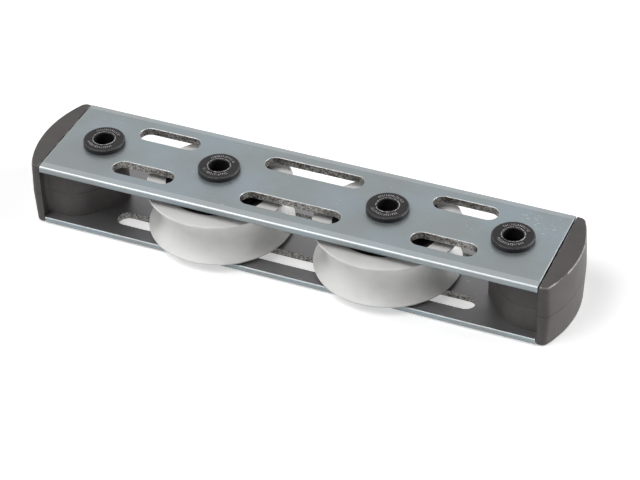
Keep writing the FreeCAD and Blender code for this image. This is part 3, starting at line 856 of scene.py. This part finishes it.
class ORGANISER_OT_end_caps(bpy.types.Operator):
    """Make the four end cap halves"""
    bl_idname = "organiser.end_caps"
    bl_label = "End caps"

    def execute(self, context):
        settings = context.scene.organiser_caps
        finish = moulded_nylon(settings)
        half = cap_half_form(settings)
        for end in ("left", "right"):
            for level in ("lower", "upper"):
                form = half.copy()
                if level == "upper":
                    turned_over(form, parting_level())
                if end == "left":
                    swung_round(form)
                node = f"{end}_end_cap_{level}"
                place_piece(form, node + "_moulding", finish, "frame", node)
        half.free()
        return {"FINISHED"}


class ORGANISER_OT_bushes(bpy.types.Operator):
    """Make the four flanged top bushes and finish the bottom ones"""
    bl_idname = "organiser.bushes"
    bl_label = "Bushes"

    def execute(self, context):
        settings = context.scene.organiser_bushes
        finish = black_acetal(settings)
        plate_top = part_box("top_plate")[1].z
        bush = top_bush_form(settings)
        for name in bush_names():
            node = name + "_top_bush"
            form = moved_to(bush.copy(), middle_x(node), 0, plate_top)
            place_piece(form, node + "_moulding", finish, "frame", node)
            finish_node(name + "_bottom_bush", finish)
        bush.free()
        return {"FINISHED"}


class ORGANISER_OT_sheaves(bpy.types.Operator):
    """Make the two sheaves with their rims and hubs"""
    bl_idname = "organiser.sheaves"
    bl_label = "Sheaves"

    def execute(self, context):
        settings = context.scene.organiser_sheaves
        hub_finish = black_nylon(settings)
        for side in ("left", "right"):
            low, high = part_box(side + "_sheave_rim")
            middle = (low + high) / 2
            half_width = (high.z - low.z) / 2
            body = side + "_sheave"
            rim = moved_to(rim_form(settings, (high.x - low.x) / 2, half_width), *middle)
            place_piece(rim, side + "_sheave_rim_turned", white_acetal(settings, side, middle.x), body,
                        side + "_sheave_rim")
            hub = moved_to(hub_form(settings, half_width), *middle)
            place_piece(hub, side + "_sheave_hub_moulding", hub_finish, body,
                        side + "_sheave_hub")
        return {"FINISHED"}


class ORGANISER_OT_axle_fittings(bpy.types.Operator):
    """Finish the axle sleeves and the thrust washers"""
    bl_idname = "organiser.axle_fittings"
    bl_label = "Axle fittings"

    def execute(self, context):
        settings = context.scene.organiser_sheaves
        washer_finish = black_nylon(settings)
        for side in ("left", "right"):
            sleeve = side + "_axle_sleeve"
            finish_node(sleeve, stainless_steel(settings, side, middle_x(sleeve)))
            finish_node(side + "_lower_washer", washer_finish)
            finish_node(side + "_upper_washer", washer_finish)
        return {"FINISHED"}


def finish_node(node, finish):
    """Gives a node of the frame its finish, and leaves its mesh as it is."""
    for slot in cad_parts[node].material_slots:
        slot.material = finish


def seen_directly(tree):
    """1 for rays that show the background to the camera, straight or by gloss or glass, else 0."""
    rays = add_node(tree, "LightPath", {}, {})
    seen = add_node(tree, "Math", {"operation": "MAXIMUM"}, {
        0: rays["Is Camera Ray"], 1: rays["Is Glossy Ray"]})["Value"]
    return add_node(tree, "Math", {"operation": "MAXIMUM"}, {
        0: seen, 1: rays["Is Transmission Ray"]})["Value"]


def pale_floor(settings):
    """Matt paper sweep: it takes the object's shadow, and the camera sees it close to white."""
    material, tree, shader, place = start_finish("matt_paper_sweep", {"Roughness": 0.9})
    fibres = add_node(tree, "TexNoise", {}, {"Vector": place, "Scale": 1 / (2 * MM), "Detail": 2.0})["Fac"]
    tint = add_node(tree, "Mix", {"data_type": "RGBA"}, {
        "Factor": fibres, 6: (*settings.floor, 1), 7: (*[c * 0.97 for c in settings.floor], 1)})[2]
    tree.links.new(tint, shader["Base Color"])
    glow = add_node(tree, "Math", {"operation": "MULTIPLY"}, {
        0: seen_directly(tree), 1: settings.floor_glow})["Value"]
    shader["Emission Color"].default_value = (1, 1, 1, 1)
    tree.links.new(glow, shader["Emission Strength"])
    return material


def add_lamp(name, settings, azimuth, elevation, size, power):
    """Square soft box that faces the object, from so many degrees to the right and up."""
    data = bpy.data.lights.new(name, "AREA")
    data.shape = "SQUARE"
    data.size = size
    data.energy = power
    lamp = bpy.data.objects.new(name, data)
    lamp.matrix_world = (
        Matrix.Rotation(math.radians(azimuth), 4, "Z")
        @ Matrix.Rotation(math.pi / 2 - math.radians(elevation), 4, "X")
        @ Matrix.Translation((0, 0, settings.lamp_distance)))
    bpy.context.scene.collection.objects.link(lamp)


def add_camera(settings):
    data = bpy.data.cameras.new("camera")
    data.lens = settings.focal_length
    data.sensor_width = settings.sensor_width
    data.clip_start = 0.01
    camera = bpy.data.objects.new("camera", data)
    bpy.context.scene.collection.objects.link(camera)
    camera.matrix_world = (
        Matrix.Translation(settings.target)
        @ Matrix.Rotation(settings.azimuth, 4, "Z")
        @ Matrix.Rotation(math.pi / 2 - settings.elevation, 4, "X")
        @ Matrix.Rotation(settings.roll, 4, "Z")
        @ Matrix.Translation((0, 0, settings.distance)))
    bpy.context.scene.camera = camera


def light_sky(settings):
    """Even light from all round, which the camera sees as white, in reflections too."""
    world = bpy.data.worlds.new("studio")
    world.use_nodes = True
    tree = world.node_tree
    level = add_node(tree, "MapRange", {}, {
        "Value": seen_directly(tree), "To Min": settings.sky_strength, "To Max": 1.0})["Result"]
    tree.links.new(level, tree.nodes["Background"].inputs["Strength"])
    tree.nodes["Background"].inputs["Color"].default_value = (1, 1, 1, 1)
    bpy.context.scene.world = world


class ORGANISER_OT_stage(bpy.types.Operator):
    """Set up the floor, the lamps, the sky and the camera"""
    bl_idname = "organiser.stage"
    bl_label = "Stage"

    def execute(self, context):
        settings = context.scene.organiser_stage
        form = bmesh.new()
        bmesh.ops.create_grid(form, x_segments=1, y_segments=1, size=3)
        mesh = bpy.data.meshes.new("floor")
        form.to_mesh(mesh)
        form.free()
        mesh.materials.append(pale_floor(settings))
        floor = bpy.data.objects.new("floor", mesh)
        context.scene.collection.objects.link(floor)
        add_lamp("front_left", settings, -48, 60, 0.9, 11.3)
        add_lamp("right", settings, 112, 16, 0.8, 17.0)
        add_lamp("front", settings, -15, 30, 0.9, 1.1)
        light_sky(settings)
        add_camera(settings)
        context.scene.view_settings.view_transform = "Standard"
        return {"FINISHED"}


class ORGANISER_PT_pieces(bpy.types.Panel):
    """Panel in the 3D view's sidebar with a button for each group of pieces"""
    bl_idname = "ORGANISER_PT_pieces"
    bl_label = "Deck organiser"
    bl_space_type = "VIEW_3D"
    bl_region_type = "UI"
    bl_category = "Organiser"

    def draw(self, context):
        for operator in OPERATORS:
            self.layout.operator(operator.bl_idname)


SETTINGS = {
    "organiser_plates": PlateSettings,
    "organiser_caps": CapSettings,
    "organiser_bushes": BushSettings,
    "organiser_sheaves": SheaveSettings,
    "organiser_stage": StageSettings,
}
OPERATORS = [
    ORGANISER_OT_plates,
    ORGANISER_OT_end_caps,
    ORGANISER_OT_bushes,
    ORGANISER_OT_sheaves,
    ORGANISER_OT_axle_fittings,
    ORGANISER_OT_stage,
]


def register():
    for name, group in SETTINGS.items():
        bpy.utils.register_class(group)
        setattr(bpy.types.Scene, name, bpy.props.PointerProperty(type=group))
    for item in [*OPERATORS, ORGANISER_PT_pieces]:
        bpy.utils.register_class(item)


def unregister():
    for item in [ORGANISER_PT_pieces, *reversed(OPERATORS)]:
        bpy.utils.unregister_class(item)
    for name, group in reversed(SETTINGS.items()):
        delattr(bpy.types.Scene, name)
        bpy.utils.unregister_class(group)


def main():
    register()
    bpy.ops.organiser.stage()
    bpy.ops.organiser.plates()
    bpy.ops.organiser.end_caps()
    bpy.ops.organiser.bushes()
    bpy.ops.organiser.sheaves()
    bpy.ops.organiser.axle_fittings()


if __name__ == "__main__":
    main()
